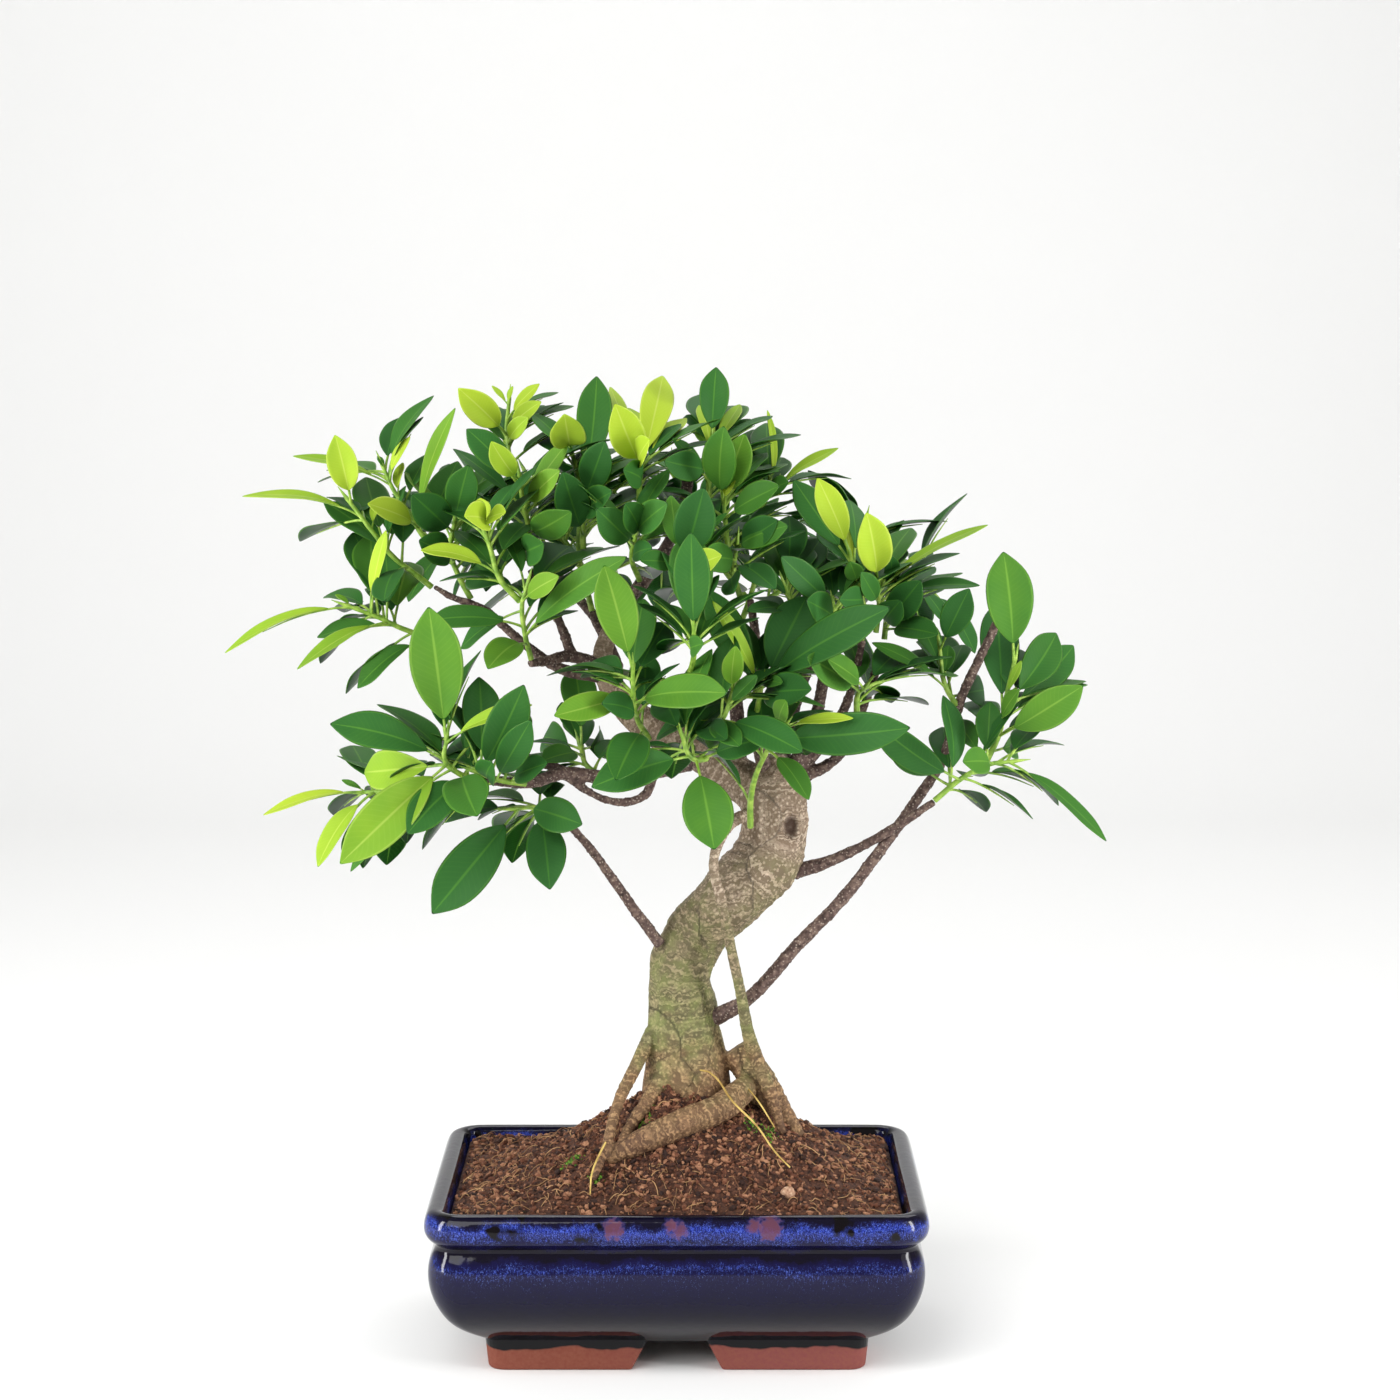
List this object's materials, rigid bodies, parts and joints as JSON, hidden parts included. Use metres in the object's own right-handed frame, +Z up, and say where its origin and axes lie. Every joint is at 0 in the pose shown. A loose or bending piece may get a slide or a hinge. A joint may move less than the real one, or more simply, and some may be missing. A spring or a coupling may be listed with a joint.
{
  "type": "potted ficus bonsai",
  "caption": "Small ficus bonsai with a curved trunk, surface roots and a leafy crown, planted in a glazed rectangular pot on corner feet.",
  "frame": {"origin": "centre of the bounding box's bottom face, on the table under the crown", "axes": "+Z up the tree, +X along the pot's long side, to the right of the tree's front, -Y the front of the tree"},
  "size_m": [0.3556, 0.2002, 0.4051],
  "materials": {
    "glaze": "glossy dark blue reduction glaze over red stoneware, bare on the feet",
    "plastic_mesh": "moulded drainage mesh",
    "soil": "moist crumbly peat and coir",
    "stone": "rough tan pebble",
    "bark": "matt ringed bark with pale pores",
    "twig_bark": "matt dark red-brown twig bark",
    "leaf": "waxy gloss, yellow-green where young"
  },
  "bodies": {
    "root": {"pot": "glaze", "drain_screen_left": "plastic_mesh", "drain_screen_right": "plastic_mesh", "soil": "soil", "pebble": "stone", "trunk": "bark", "branch_left_low": "twig_bark", "branch_left_mid": "twig_bark", "branch_left_inner": "twig_bark", "branch_left_far": "twig_bark", "branch_top": "twig_bark", "branch_centre": "twig_bark", "branch_right_fan": "twig_bark", "branch_right_low": "twig_bark", "branch_right_long": "twig_bark", "branch_back_left": "twig_bark", "branch_back_middle": "twig_bark", "branch_back_right": "twig_bark", "shoot_left_hero": "leaf", "shoot_left_tail": "leaf", "shoot_left_far": "leaf", "shoot_left_top": "leaf", "shoot_left_fan": "leaf", "shoot_left_inner": "leaf", "shoot_left_bud": "leaf", "shoot_left_cut": "leaf", "shoot_left_lower": "leaf", "shoot_left_mid": "leaf", "shoot_left_under": "leaf", "shoot_mid_left": "leaf", "shoot_mid_low": "leaf", "shoot_mid_twig": "leaf", "shoot_front": "leaf", "shoot_mid_big": "leaf", "shoot_mid_hero": "leaf", "shoot_mid_top": "leaf", "shoot_mid_white": "leaf", "shoot_sprig_left": "leaf", "shoot_top_left": "leaf", "shoot_top_curl": "leaf", "shoot_top_olive": "leaf", "shoot_top_yellow": "leaf", "shoot_top_dark": "leaf", "shoot_top_fan": "leaf", "shoot_top_right": "leaf", "shoot_right_stack": "leaf", "shoot_right_mid": "leaf", "shoot_right_lean": "leaf", "shoot_right_top": "leaf", "shoot_right_yellow": "leaf", "shoot_right_tall": "leaf", "shoot_right_inner": "leaf", "shoot_right_cross": "leaf", "shoot_right_hero": "leaf", "shoot_right_end": "leaf", "spray_back_left": "leaf", "spray_back_high": "leaf", "spray_back_middle": "leaf", "spray_back_right": "leaf", "spray_back_inner": "leaf"}
  },
  "joints": []
}
